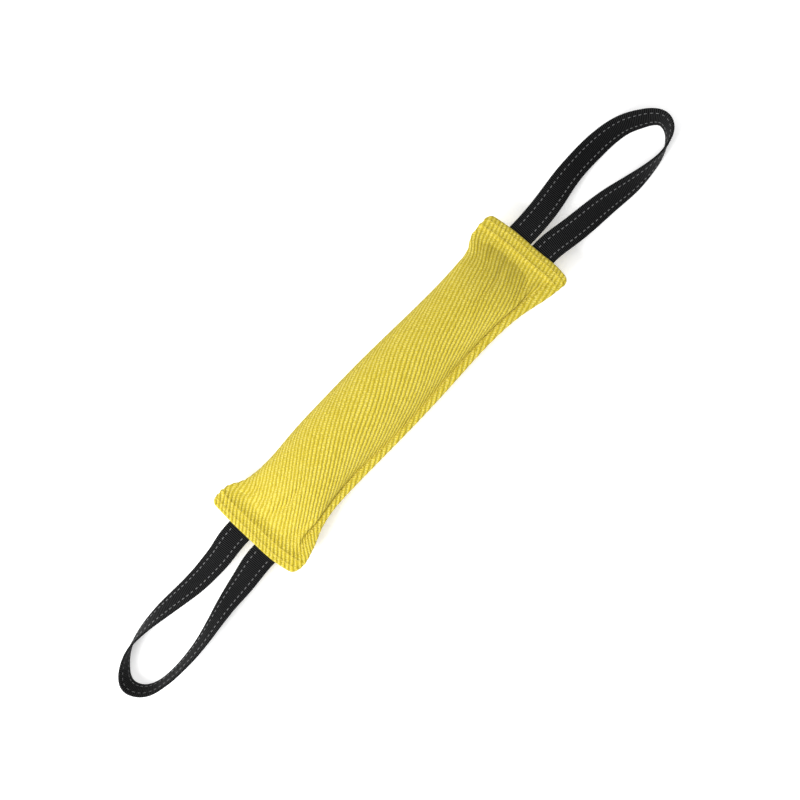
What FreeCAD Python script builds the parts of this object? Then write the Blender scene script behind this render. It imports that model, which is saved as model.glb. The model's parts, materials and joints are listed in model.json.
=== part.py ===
import FreeCAD, Part

import math
import os

# A stuffed bite tug: a roll of twill cloth, seamed flat at both ends and along one side, with a loop of
# webbing sewn into each end. Millimetres. +X runs along the roll to the right handle, +Y to the folded side
# of the cloth, +Z up. The roll lies on z = 0, and the origin is at the middle of its resting patch.

Vector = FreeCAD.Vector

# Stuffed roll
BODY_LENGTH = 298.0        # end edge to end edge
WAIST_WIDTH = 55.0         # across the stuffed tube, without the side flange
WAIST_HEIGHT = 40.0        # before the tube settles on its resting patch
SETTLING = 0.6             # how far the underside is pressed flat
TUBE_CENTRE_Y = 2.5        # the tube's middle stands towards the fold, and the side flange balances it
FABRIC = 1.5               # one layer of the twill
STUFFING_GAP = 0.2         # between the stuffing and the cloth

# Seamed bands
END_BAND = 12.0            # flat band across each end, along X
SIDE_BAND = 5.0            # flat band along the side seam at the waist
SIDE_BAND_AT_ENDS = 8.0    # the same band where it meets the end bands
CORNER_RADIUS = 4.0        # of the end bands' outer corners
FLARE = 27.0               # length over which the tube widens towards an end band
FLARE_TO_BAND = 5.0        # straight stretch between the flare and the band
TAPER = 40.0               # length over which the tube's height falls to the band
TUBE_SINK = 0.2            # how far the tube's thin end lies inside the band's faces

# Thread
STITCH_PITCH = 4.0
STITCH_LENGTH = 3.0
THREAD_WIDTH = 0.8
THREAD_HEIGHT = 0.5
THREAD_GAP = 0.05          # between the thread and the cloth it lies on
SIDE_ROW_INSET = 0.8       # side seam's row, out from the tube
OUTER_ROW_INSET = 4.5      # end seams' rows, in from the end edge
INNER_ROW_MARGIN = 1.5     # between the inner row and the end band's inner edge
INNER_ROW_INSET = END_BAND - INNER_ROW_MARGIN
ROW_END_MARGIN = 2.5       # between a row's last stitch and the band's corner

# Webbing
WEBBING_WIDTH = 20.0
WEBBING_THICKNESS = 1.6
TAIL_LENGTH = 25.0         # sewn in at each end of a strap
TAIL_SLOT_GAP = 0.2        # all round a tail
FOLD_LIMIT = 120.0         # degrees that a handle folds either way
FOLD_CLEARANCE = 1.3       # between the strap and the end band's edge when it is folded right over
TAIL_CLEARANCE = 1.0       # between the strap and its own sewn-in tail then
FLOOR_GAP = 0.3            # under the strap where it stands on its edge
TRACER_WIDTH = 1.0
TRACER_INSET = 4.5         # from the webbing's edge to the middle of a tracer row
TRACER_THICKNESS = 0.15
TRACER_GAP = 0.1           # between a tracer and the webbing's face
STRAP_STATIONS = 37        # sections that a strap's surface passes through

# Each end: its sign along X, the tube's width where the band pinches it, the webbing's reach from the fold
# line, the middle line between its two legs, the gap between the legs at the seam, and the strap's route.
# A route row is (share of the reach, leg, shift, roll): leg is 1 on the fold side, -1 on the seam side and 0
# round the tip, shift is the distance in +Y from that leg's line, and roll turns the strap on its own line,
# from flat at 0, over standing on its edge at 90, to flat again with its other face up at 180.
LEFT_ROUTE = [
    (0.000, 1, 0.0, 0),
    (0.066, 1, -0.7, 10),
    (0.139, 1, -2.2, 22),
    (0.212, 1, -2.9, 28),
    (0.285, 1, -3.2, 35),
    (0.358, 1, -2.9, 41),
    (0.431, 1, -2.0, 48),
    (0.577, 1, 0.1, 59),
    (0.723, 1, 0.9, 75),
    (0.847, 1, -1.5, 90),
    (0.942, 0, 3.9, 103),
    (1.000, 0, -7.1, 113),
    (0.964, 0, -18.1, 108),
    (0.869, -1, -11.7, 103),
    (0.723, -1, -13.2, 106),
    (0.577, -1, -11.9, 112),
    (0.431, -1, -8.4, 121),
    (0.285, -1, -4.8, 135),
    (0.139, -1, -2.3, 155),
    (0.066, -1, -0.8, 168),
    (0.000, -1, 0.0, 180),
]
RIGHT_ROUTE = [
    (0.000, 1, 0.0, 0),
    (0.069, 1, 0.3, 0),
    (0.146, 1, 1.0, 2),
    (0.222, 1, 2.2, 8),
    (0.299, 1, 3.8, 18),
    (0.375, 1, 5.2, 25),
    (0.452, 1, 6.0, 30),
    (0.605, 1, 6.1, 31),
    (0.759, 1, 4.0, 41),
    (0.835, 1, 1.1, 48),
    (0.912, 0, 6.5, 54),
    (0.966, 0, 1.5, 60),
    (1.000, 0, -5.5, 68),
    (0.985, 0, -13.0, 76),
    (0.920, -1, -8.8, 90),
    (0.851, -1, -11.8, 99),
    (0.759, -1, -12.6, 110),
    (0.682, -1, -12.1, 121),
    (0.605, -1, -11.0, 132),
    (0.452, -1, -7.6, 149),
    (0.299, -1, -5.2, 165),
    (0.146, -1, -2.6, 177),
    (0.069, -1, -0.9, 180),
    (0.000, -1, 0.0, 180),
]
ENDS = {
    "left": {
        "sign": -1, "end_width": 71.0, "reach": 135.5, "middle_y": -3.9, "leg_gap": 4.8, "route": LEFT_ROUTE,
    },
    "right": {
        "sign": 1, "end_width": 68.0, "reach": 129.0, "middle_y": -0.5, "leg_gap": 1.4, "route": RIGHT_ROUTE,
    },
}
LEG_NAMES = {1: "fold_side", -1: "seam_side"}

# Worked out
HALF_LENGTH = BODY_LENGTH / 2
BAND_START = HALF_LENGTH - END_BAND
BAND_THICKNESS = 2 * FABRIC + WEBBING_THICKNESS
SEAM_Z = WAIST_HEIGHT / 2 - SETTLING
TAPER_START = BAND_START - TAPER
FLARE_END = BAND_START - FLARE_TO_BAND
FLARE_START = FLARE_END - FLARE
FOLD = math.radians(FOLD_LIMIT)
# the line that a strap folds about lies this far out, so that the folded strap clears the band's edge
HINGE_STANDOFF = (
    FOLD_CLEARANCE + WEBBING_THICKNESS / 2 - BAND_THICKNESS / 2 * math.cos(FOLD)
) / math.sin(FOLD)
HINGE_X = HALF_LENGTH + HINGE_STANDOFF


def ease(value, low, high):
    """0 below low, 1 above high, and a smooth step between."""
    t = min(max((value - low) / (high - low), 0.0), 1.0)
    return t * t * (3 - 2 * t)


def end_at(x):
    return ENDS["right"] if x > 0 else ENDS["left"]


def tube_half_width(x):
    share = ease(abs(x), FLARE_START, FLARE_END)
    return (WAIST_WIDTH + (end_at(x)["end_width"] - WAIST_WIDTH) * share) / 2


def tube_half_height(x):
    lowest = BAND_THICKNESS / 2 - TUBE_SINK
    left = min(max((BAND_START - abs(x)) / TAPER, 0.0), 1.0)
    return lowest + (WAIST_HEIGHT / 2 - lowest) * math.sin(left * math.pi / 2)


def side_band_width(x):
    return SIDE_BAND + (SIDE_BAND_AT_ENDS - SIDE_BAND) * ease(abs(x), FLARE_START, FLARE_END)


def tube_side_y(x):
    """The tube's edge on the seam side, where the side band starts."""
    return TUBE_CENTRE_Y - tube_half_width(x)


def tube_section(x, half_width, half_height):
    """An ellipse across the roll."""
    ellipse = Part.Ellipse(Vector(0, 0, 0), half_width, half_height)
    wire = Part.Wire([ellipse.toShape()])
    # the ellipse is drawn in XY, so its long axis goes to Y and its short one to Z
    turn = FreeCAD.Rotation(Vector(0, 1, 0), Vector(0, 0, 1), Vector(1, 0, 0), "ZXY")
    wire.Placement = FreeCAD.Placement(Vector(x, TUBE_CENTRE_Y, SEAM_Z), turn)
    return wire


def tube(inset, end_x):
    """The stuffed tube, smaller all round by inset, from -end_x to end_x."""
    half = [TAPER_START * step for step in (0.35, 0.7, 0.9)]
    half += [TAPER_START + (end_x - TAPER_START) * step for step in (0.0, 0.2, 0.4, 0.6, 0.8, 1.0)]
    stations = [-x for x in reversed(half)] + [0.0] + half
    sections = []
    for x in stations:
        sections.append(tube_section(x, tube_half_width(x) - inset, tube_half_height(x) - inset))
    return Part.makeLoft(sections, True, False)


def plate(edges):
    """A flat band in the seam plane, from its outline at z = 0."""
    face = Part.Face(Part.Wire(edges))
    face.translate(Vector(0, 0, SEAM_Z - BAND_THICKNESS / 2))
    return face.extrude(Vector(0, 0, BAND_THICKNESS))


def curve_through(points):
    curve = Part.BSplineCurve()
    curve.interpolate(points)
    return curve.toShape()


def side_band():
    """The two layers stitched together outside the tube, along its seam side."""
    inner_overlap = FABRIC / 2
    count = 21
    last_x = HALF_LENGTH - END_BAND / 2
    inner, outer = [], []
    for n in range(count):
        x = last_x * (2 * n / (count - 1) - 1)
        inner.append(Vector(x, tube_side_y(x) + inner_overlap, 0))
        outer.append(Vector(x, tube_side_y(x) - side_band_width(x), 0))
    edges = [
        curve_through(inner),
        Part.makeLine(inner[-1], outer[-1]),
        curve_through(outer),
        Part.makeLine(outer[0], inner[0]),
    ]
    return plate(Part.__sortEdges__(edges))


def end_band_sides(end):
    """The end band's edges in Y: seam side, fold side."""
    x = end["sign"] * HALF_LENGTH
    return tube_side_y(x) - SIDE_BAND_AT_ENDS, TUBE_CENTRE_Y + tube_half_width(x)


def end_band(end):
    low_y, high_y = end_band_sides(end)
    near = end["sign"] * (BAND_START - CORNER_RADIUS / 2)
    far = end["sign"] * HALF_LENGTH
    low_x, high_x = min(near, far), max(near, far)
    block = Part.makeBox(
        high_x - low_x, high_y - low_y, BAND_THICKNESS, Vector(low_x, low_y, SEAM_Z - BAND_THICKNESS / 2)
    )
    corners = []
    for edge in block.Edges:
        upright = edge.BoundBox.ZLength > BAND_THICKNESS / 2
        if upright and abs(edge.BoundBox.Center.x - far) < CORNER_RADIUS:
            corners.append(edge)
    return block.makeFillet(CORNER_RADIUS, corners)


def leg_y(end, leg):
    return end["middle_y"] + leg * (WEBBING_WIDTH + end["leg_gap"]) / 2


def strap_box(end, leg, inner_x, outer_x, gap):
    """The straight stretch of a strap through the seam, from |x| inner_x to outer_x, grown by gap."""
    low_x = min(end["sign"] * inner_x, end["sign"] * outer_x)
    return Part.makeBox(
        outer_x - inner_x,
        WEBBING_WIDTH + 2 * gap,
        WEBBING_THICKNESS + 2 * gap,
        Vector(low_x, leg_y(end, leg) - WEBBING_WIDTH / 2 - gap, SEAM_Z - WEBBING_THICKNESS / 2 - gap),
    )


def tail_outer_x():
    """As near the fold line as the strap allows when it is folded right over."""
    return HINGE_X - WEBBING_THICKNESS / 2 * math.tan(FOLD / 2) - TAIL_CLEARANCE


def tail_slots():
    slots = []
    for end in ENDS.values():
        for leg in LEG_NAMES:
            inner_x = HALF_LENGTH - TAIL_LENGTH - TAIL_SLOT_GAP
            slots.append(strap_box(end, leg, inner_x, HINGE_X, TAIL_SLOT_GAP))
    return slots


def below_the_floor():
    reach = HINGE_X + FLARE
    return Part.makeBox(2 * reach, 2 * reach, WAIST_HEIGHT, Vector(-reach, -reach, -WAIST_HEIGHT))


def cover():
    """The twill panel: a hollow tube, its bands, the slots for the straps, and the flat resting patch."""
    outside = tube(0.0, BAND_START)
    outside = outside.fuse([side_band()] + [end_band(end) for end in ENDS.values()])
    inside = tube(FABRIC, BAND_START)
    return outside.cut([inside, below_the_floor()] + tail_slots())


def stuffing():
    inset = FABRIC + STUFFING_GAP
    core = tube(inset, BAND_START - STUFFING_GAP)
    # the cloth is pressed in by the settling, and the stuffing under it with it
    floor = below_the_floor()
    floor.translate(Vector(0, 0, FABRIC - SETTLING + STUFFING_GAP))
    return core.cut([floor] + tail_slots())


def stitch(x, y, angle, above):
    """One visible length of thread, lying on the band's upper or lower face."""
    lift = BAND_THICKNESS / 2 + THREAD_GAP
    low_z = SEAM_Z + lift if above else SEAM_Z - lift - THREAD_HEIGHT
    bar = Part.makeBox(
        STITCH_LENGTH, THREAD_WIDTH, THREAD_HEIGHT, Vector(-STITCH_LENGTH / 2, -THREAD_WIDTH / 2, 0)
    )
    bar.Placement = FreeCAD.Placement(Vector(x, y, low_z), FreeCAD.Rotation(Vector(0, 0, 1), angle))
    return bar


def side_row_y(x):
    return tube_side_y(x) - SIDE_ROW_INSET


def side_row(above):
    last_x = HALF_LENGTH - INNER_ROW_INSET - STITCH_PITCH
    count = int(2 * last_x / STITCH_PITCH) + 1
    stitches = []
    for n in range(count):
        x = (n - (count - 1) / 2) * STITCH_PITCH
        rise = side_row_y(x + STITCH_LENGTH / 2) - side_row_y(x - STITCH_LENGTH / 2)
        stitches.append(stitch(x, side_row_y(x), math.degrees(math.atan2(rise, STITCH_LENGTH)), above))
    return Part.makeCompound(stitches)


def end_row(end, inset, above):
    low_y, high_y = end_band_sides(end)
    middle_y = (low_y + high_y) / 2
    span = high_y - low_y - 2 * ROW_END_MARGIN - STITCH_LENGTH
    count = int(span / STITCH_PITCH) + 1
    x = end["sign"] * (HALF_LENGTH - inset)
    stitches = []
    for n in range(count):
        stitches.append(stitch(x, middle_y + (n - (count - 1) / 2) * STITCH_PITCH, 90, above))
    return Part.makeCompound(stitches)


def route_points(end):
    """The middle of the strap at each row of its route: it hangs from the seam down to its standing edge."""
    points = []
    for share, leg, shift, roll_deg in end["route"]:
        roll = math.radians(roll_deg)
        standing = WEBBING_WIDTH / 2 * abs(math.sin(roll)) + WEBBING_THICKNESS / 2 * abs(math.cos(roll))
        rest_z = standing + FLOOR_GAP
        held = math.cos(share * math.pi / 2) ** 2
        x = end["sign"] * (HINGE_X + share * end["reach"])
        points.append(Vector(x, leg_y(end, leg) + shift, rest_z + (SEAM_Z - rest_z) * held))
    return points


def strap_line(end):
    line = Part.BSplineCurve()
    line.interpolate(route_points(end))
    return line


def roll_at(distance, distances, rolls):
    """The roll in degrees at a distance along the strap, straight between the rows of the route."""
    for n in range(1, len(distances)):
        if distance <= distances[n]:
            share = (distance - distances[n - 1]) / (distances[n] - distances[n - 1])
            return rolls[n - 1] + (rolls[n] - rolls[n - 1]) * share
    return rolls[-1]


def route_stations(end):
    """Evenly spaced stations along the strap: a point, its width direction and its face normal.

    The strap meets its fold lines squarely, so its end stations face along X.
    """
    line = strap_line(end)
    distances = [line.length(line.FirstParameter, line.parameter(point)) for point in route_points(end)]
    rolls = [row[3] for row in end["route"]]
    stations = []
    for n in range(STRAP_STATIONS):
        distance = line.length() * n / (STRAP_STATIONS - 1)
        parameter = line.parameterAtDistance(distance, line.FirstParameter)
        roll = math.radians(roll_at(distance, distances, rolls))
        along = line.tangent(parameter)[0]
        if n == 0:
            along = Vector(end["sign"], 0, 0)
        if n == STRAP_STATIONS - 1:
            along = Vector(-end["sign"], 0, 0)
        level = Vector(0, 0, 1).cross(along).normalize()
        across = level * math.cos(roll) + along.cross(level) * math.sin(roll)
        stations.append((line.value(parameter), across, along.cross(across)))
    return stations


def strap_loft(stations, outline):
    """A solid whose section is outline, a closed list of (across, out of the face) points."""
    sections = []
    for point, across, normal in stations:
        corners = [point + across * a + normal * n for a, n in outline]
        sections.append(Part.makePolygon(corners + corners[:1]))
    return Part.makeLoft(sections, True, False)


def tracer_rows():
    offset = WEBBING_WIDTH / 2 - TRACER_INSET
    return (-offset, offset)


def webbing_outline():
    half_width, half_thick = WEBBING_WIDTH / 2, WEBBING_THICKNESS / 2
    return [
        (-half_width, -half_thick),
        (half_width, -half_thick),
        (half_width, half_thick),
        (-half_width, half_thick),
    ]


def handle_webbing(end):
    return strap_loft(route_stations(end), webbing_outline())


def handle_tracer(end, row):
    """One row's two yarns, one on each face of the strap."""
    stations = route_stations(end)
    half_width = TRACER_WIDTH / 2
    low = WEBBING_THICKNESS / 2 + TRACER_GAP
    high = low + TRACER_THICKNESS
    yarns = []
    for face in (1, -1):
        outline = [
            (row - half_width, face * low),
            (row + half_width, face * low),
            (row + half_width, face * high),
            (row - half_width, face * high),
        ]
        yarns.append(strap_loft(stations, outline))
    return Part.makeCompound(yarns)


def handle_parts(name, end):
    parts = {f"{name}_handle_webbing": handle_webbing(end)}
    for row_name, row in zip(("first", "second"), tracer_rows()):
        parts[f"{name}_handle_tracer_{row_name}_row"] = handle_tracer(end, row)
    for leg, leg_name in LEG_NAMES.items():
        parts[f"{name}_handle_tail_{leg_name}"] = strap_box(
            end, leg, HALF_LENGTH - TAIL_LENGTH, tail_outer_x(), 0.0
        )
    return parts


def seam_threads():
    parts = {}
    for thread, above in (("needle", True), ("bobbin", False)):
        parts[f"side_seam_{thread}_thread"] = side_row(above)
        for name, end in ENDS.items():
            for row, inset in (("outer", OUTER_ROW_INSET), ("inner", INNER_ROW_INSET)):
                parts[f"{name}_end_{row}_row_{thread}_thread"] = end_row(end, inset, above)
    return parts


def main():
    os.makedirs("parts", exist_ok=True)
    parts = {"cover": cover(), "stuffing_core": stuffing()}
    parts.update(seam_threads())
    for name, end in ENDS.items():
        parts.update(handle_parts(name, end))
        print(f"{name} strap: {strap_line(end).length():.0f} mm from fold line to fold line")
    for name, shape in parts.items():
        if not shape.isValid():
            raise ValueError(f"{name} is not a valid shape")
        shape.exportStep(f"parts/{name}.step")
        print(f"{name}: {len(shape.Solids)} solid(s), {shape.Volume:.0f} mm3")


main()
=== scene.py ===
import json
import math

import bpy
import numpy as np
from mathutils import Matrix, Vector


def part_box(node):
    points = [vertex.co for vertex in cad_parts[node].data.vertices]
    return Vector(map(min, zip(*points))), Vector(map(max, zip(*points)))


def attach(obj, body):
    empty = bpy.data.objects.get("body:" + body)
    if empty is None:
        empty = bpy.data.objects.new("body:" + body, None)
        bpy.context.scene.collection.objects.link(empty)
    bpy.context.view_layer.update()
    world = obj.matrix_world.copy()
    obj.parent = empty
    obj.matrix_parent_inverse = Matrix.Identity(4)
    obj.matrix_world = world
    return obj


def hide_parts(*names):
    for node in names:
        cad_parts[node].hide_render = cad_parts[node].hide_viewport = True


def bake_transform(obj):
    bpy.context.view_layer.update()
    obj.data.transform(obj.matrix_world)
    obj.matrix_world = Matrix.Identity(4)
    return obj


# The looks of a stuffed bite tug: a roll of twill cloth with a webbing loop sewn into each end, in the CAD
# frame. Sizes are in millimetres, and MM turns them into metres where a mesh is made. Only the camera's and
# the lights' places are in metres as they stand.

MM = 0.001

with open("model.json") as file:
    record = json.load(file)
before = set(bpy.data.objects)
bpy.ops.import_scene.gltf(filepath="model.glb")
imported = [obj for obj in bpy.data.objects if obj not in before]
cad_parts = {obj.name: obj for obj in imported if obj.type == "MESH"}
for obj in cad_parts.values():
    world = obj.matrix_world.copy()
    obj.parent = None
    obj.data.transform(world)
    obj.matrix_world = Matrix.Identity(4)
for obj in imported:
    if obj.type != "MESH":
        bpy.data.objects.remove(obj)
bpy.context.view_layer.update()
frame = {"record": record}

# Sizes read from the frame, in millimetres
COVER_LOW, COVER_HIGH = [np.array(corner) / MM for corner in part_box("cover")]
HALF_LENGTH = COVER_HIGH[0]
TUBE_HEIGHT = COVER_HIGH[2] - COVER_LOW[2]
TAIL_LOW, TAIL_HIGH = [np.array(corner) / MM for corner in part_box("left_handle_tail_fold_side")]
WEBBING_WIDTH = TAIL_HIGH[1] - TAIL_LOW[1]
WEBBING_THICKNESS = TAIL_HIGH[2] - TAIL_LOW[2]
TAIL_INNER_X = -TAIL_HIGH[0]
SEAM_Z = (TAIL_LOW[2] + TAIL_HIGH[2]) / 2
JOINTS = frame["record"]["behaviour"]["joints"]
HINGES = {joint["child"]: np.array(joint["pos_m"]) / MM for joint in JOINTS}

# Cloth
LAYER = 1.5                 # one layer of twill
BAND_HALF = LAYER + WEBBING_THICKNESS / 2
END_BAND = 12.0             # flat band across each end, along the roll
BAND_START = HALF_LENGTH - END_BAND
GIRTH = 150.0               # of the panel, seam to seam
OVER_TAILS = 1.45           # the cloth's least height over the sewn-in webbing's middle
OVER_TAILS_FROM = 32.0      # in from the band, where that height begins, and where it is all there
OVER_TAILS_TO = 18.0
OVER_TAILS_SIDE = 1.0, 4.0  # out from the valley, the same
SEAM_HALF = 0.9             # half the distance between the layers at the side seam's line
SEAM_SHARE = 0.1            # of the girth, over which that distance fades out
ROUND_FROM = 6.0            # half heights of the tube: left alone below the first, and brought to the
ROUND_TO = 16.0             # roll's own height above the second
PEAK_SMOOTHING = 6          # rows either side of the one that is smoothed

# Hems of the end bands
LIP = 1.0                   # radius of a turned hem's edge
LIP_ROWS = 6
LIP_SHARE = 0.52            # of the band's half thickness, at the middle of the lip, and what the lip adds
LIP_SWING = 0.46
CREASE_SHARE = 0.05         # of the band's half thickness, where the hems meet inside the lip
HEM_RISE = 0.5              # how far the right band's hem stands up more than the left one's
HEM_RISE_LENGTH = 3.0       # in from the end edge, over which it rises so far
LEFT_STEP = -4.0, 2.0       # from the band's start, where the left band takes over from the tube
RIGHT_STEP = -0.9, 0.5      # the same on the right, where it is a sharp step
CORNER_RADIUS = 4.5
SLANT_LENGTH = 45.0         # of roll, over which its rows lean over to the end edge's slant
CORNER_LENGTH = 7.2         # of roll, over which they take on the rounded corners

# Flange along the side seam
FLANGE_ROWS = 9
FLANGE_TOP = 2.1            # its surface's height over the seam's plane
FLANGE_PUFF = 0.45          # what it swells by between its rim and the valley
FLANGE_DIP = 1.2            # what it falls by at the valley
RIM_RISE = 0.95             # half the height of its round rim
CREASE_Z = 0.12             # half the gap between its two layers inside the rim
FLANGE_FLATTENS = 14.0, 1.0     # in from the band, where the flange begins and stops rising to it
FLANGE_RIM_SHARE = 0.3      # of the flange, over which that leaves the rim as it is

# Ribs of the twill, stitch grooves and needle pits
RIB_PITCH = 3.4             # measured round the girth
RIB_HEIGHT = 0.48
RIB_HEIGHT_AT_RIM = 0.2
RIB_SHAPE = 0.7             # below 1 the ribs are broad, and the valleys between them narrow
RIB_DATUM = 0.55            # of a rib's height, at the smooth surface
RIBS_AT_EDGE = 0.35         # of their height, at the end edges
RIBS_FADE = 0.2, 2.0        # in from an end edge, where they begin and stop growing
RIB_SLANTS = [(-1.0, 38.0), (-0.55, 31.0), (0.0, 27.0), (0.6, 23.0), (1.0, 19.0)]
MEAN_SLANT = 27.0
# How a rib strays, as waves of (share of the pitch, millimetres along and round for a radian, start)
RIB_WANDER = [(0.14, 13.0, 19.0, 0.0), (0.1, 7.3, -8.9, 1.3)]
FLOAT_LENGTH = 1.75         # of one float of yarn, along a rib
GROOVE_DEPTH = 0.35
GROOVE_WIDTH = 1.1
PIT_DEPTH = 0.2
PIT_ACROSS = 0.9            # how far a needle pit reaches, across and along its row
PIT_ALONG = 0.8
PRESSED_Z = 0.35            # the ribs' middle height where the roll rests
PRESSED_RIBS = 0.25         # height of the ribs there
PRESSED_SOFTLY = 0.5        # height over which the pressing fades out

# The cover's mesh
SMOOTH_ROWS = 340           # along the roll
ROUND_ROWS = 236            # round the tube, seam to seam
TUBE_COLUMN = LIP_ROWS + FLANGE_ROWS    # the column on the tube's upper seam line
CREASE_COLUMNS = 3
SIDE_ROW_SHARE = 0.86       # of the flange, from its rim to the valley
SEAM_COLUMN = LIP_ROWS + round(SIDE_ROW_SHARE * FLANGE_ROWS)
COLUMN_WIDTH = 0.6          # in the flange

# Places of its rows along the roll, a little closer together near the ends
ROW_CROWDING = 0.15
EVEN_SHARES = np.linspace(-1, 1, SMOOTH_ROWS)
ROW_X = HALF_LENGTH * ((1 + ROW_CROWDING) * EVEN_SHARES - ROW_CROWDING * EVEN_SHARES ** 3)

# Stuffing
STUFFING_END = 24.0         # in from the band
STUFFING_INSET = 4.5        # under the cloth's middle, or this share of the tube's half size if that is less
STUFFING_INSET_SHARE = 0.45
STUFFING_STEP = 6           # it has one row for so many of the cover's

# Stitches
OUTER_ROW_INSET = 4.5
INNER_ROW_INSET = 10.5
STITCH_PITCH = 4.0
STITCH_LENGTH = 3.0
THREAD_RADIUS = 0.36
THREAD_LIFT = 0.3           # of its middle over the cloth, and how far its ends are sunk
THREAD_SINK = 0.25

# Outlines from above, as (place along the roll as a share of its half length, Y)
FOLD_CONTOUR = [
    (-1.0, 38.2), (-0.93, 38.4), (-0.88, 37.0), (-0.83, 32.8), (-0.76, 30.0), (-0.67, 28.9), (-0.5, 30.2),
    (-0.25, 31.0), (0.0, 30.8), (0.27, 29.4), (0.55, 28.4), (0.7, 29.2), (0.77, 31.0), (0.805, 33.3),
    (0.85, 35.8), (0.89, 36.7), (1.0, 37.2),
]
VALLEY = [
    (-1.0, -35.0), (-0.88, -34.0), (-0.8, -30.3), (-0.67, -26.4), (-0.52, -24.0), (-0.35, -23.6),
    (-0.12, -25.2), (0.2, -23.4), (0.5, -22.0), (0.68, -22.8), (0.82, -25.8), (0.92, -28.6), (1.0, -29.8),
]
RIM_CONTOUR = [
    (-1.0, -42.2), (-0.92, -42.4), (-0.86, -40.4), (-0.8, -38.0), (-0.73, -34.3), (-0.62, -30.6),
    (-0.5, -29.7), (-0.2, -30.0), (0.2, -29.6), (0.6, -29.0), (0.74, -31.8), (0.82, -34.6), (0.9, -36.8),
    (1.0, -38.2),
]
# How far the end edges stand back from the roll's ends, as (Y, distance)
SETBACKS = {
    -1: [(-42, 4.6), (-36, 2.9), (-30, 1.7), (-24, 0.8), (-10, 0.1), (10, 0.0), (22, 0.1), (38, 1.0)],
    1: [(-38, 1.4), (-30, 0.2), (-22, 0.0), (-10, 1.1), (0, 1.7), (10, 2.2), (20, 3.2), (37, 6.0)],
}

# The straps' routes, as (share of the reach, leg, shift in Y from that leg's line, roll in degrees). Leg is
# 1 on the fold side, -1 on the seam side and 0 round the tip. Roll is 0 lying flat and 180 turned over.
STRAPS = {
    "left": {
        "sign": -1, "reach": 135.5, "leg_gap": 4.8, "route": [
            (0.000, 1, 0.0, 0), (0.066, 1, -0.7, 10), (0.139, 1, -2.2, 22), (0.212, 1, -2.9, 28),
            (0.285, 1, -3.2, 35), (0.358, 1, -2.9, 41), (0.431, 1, -2.0, 48), (0.577, 1, 0.1, 59),
            (0.723, 1, 0.9, 75), (0.847, 1, -1.5, 90), (0.942, 0, 3.9, 103), (1.000, 0, -7.1, 113),
            (0.964, 0, -18.1, 108), (0.869, -1, -11.7, 103), (0.723, -1, -13.2, 106),
            (0.577, -1, -11.9, 112), (0.431, -1, -8.4, 121), (0.285, -1, -4.8, 135),
            (0.139, -1, -2.3, 155), (0.066, -1, -0.8, 168), (0.000, -1, 0.0, 180),
        ],
    },
    "right": {
        "sign": 1, "reach": 129.0, "leg_gap": 1.4, "route": [
            (0.000, 1, 0.0, 0), (0.069, 1, 0.3, 0), (0.146, 1, 1.0, 2), (0.222, 1, 2.2, 8),
            (0.299, 1, 3.8, 18), (0.375, 1, 5.2, 25), (0.452, 1, 6.0, 30), (0.605, 1, 6.1, 31),
            (0.759, 1, 4.0, 41), (0.835, 1, 1.1, 48), (0.912, 0, 6.5, 54), (0.966, 0, 1.5, 60),
            (1.000, 0, -5.5, 68), (0.985, 0, -13.0, 76), (0.920, -1, -8.8, 90), (0.851, -1, -11.8, 99),
            (0.759, -1, -12.6, 110), (0.682, -1, -12.1, 121), (0.605, -1, -11.0, 132),
            (0.452, -1, -7.6, 149), (0.299, -1, -5.2, 165), (0.146, -1, -2.6, 177),
            (0.069, -1, -0.9, 180), (0.000, -1, 0.0, 180),
        ],
    },
}
FLOOR_GAP = 0.3             # under a strap where it stands on its edge
TAIL_MARGIN = 1.0           # the visible tail stops short of its slot's end
TAIL_LENGTH = 12.0          # its straight part, along the roll
SEAM_MARGIN = 3.0           # in from the roll's end, where a tail's straight part has ended
ROUTE_STEPS = 2400          # places where a strap's curve is worked out
WEBBING_STEP = 0.33         # between the rows of a strap's mesh
WEBBING_EDGE = 0.45         # radius of the webbing's rounded edges
WEBBING_COLUMNS = 23        # across its flat face
ROLL_SMOOTHING = 12         # rows either side of the one whose roll is smoothed
WEBBING_RIB = 1.3           # pitch of its cross ribs
FACE_YARN = 0.9             # pitch of its lengthwise yarns
RIB_RELIEF = 0.13
EDGE_TEETH = 0.018          # how far the edges swing in and out, as a share of the half width
SELVEDGE = 0.3, 1.2         # in from the edge, where the ribs take over from the teeth
TRACER_INSET = 4.5
TRACER_PITCH = 4.0
DASH_PHASES = {1: 0.5, -1: 1.0}     # where the dashes on each face start, in pitches
TRACER_LENGTH = 2.0
TRACER_WIDTH = 0.65
TRACER_HEIGHT = 0.17        # of a dash's dome
TRACER_EDGE = 0.05          # of its edge, over the webbing's face
TRACER_ROOT = 0.16          # how far its base lies under its dome's foot
TRACER_START = 2.0          # from the roll's end to the first dash
TRACER_LIFT = 0.02          # of a dash over the webbing's middle plane, besides half its thickness


# ---------------------------------------------------------------- helpers

def ease(value, low, high):
    """0 below low, 1 above high, and a smooth step between."""
    t = np.clip((value - low) / (high - low), 0.0, 1.0)
    return t * t * (3 - 2 * t)


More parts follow.
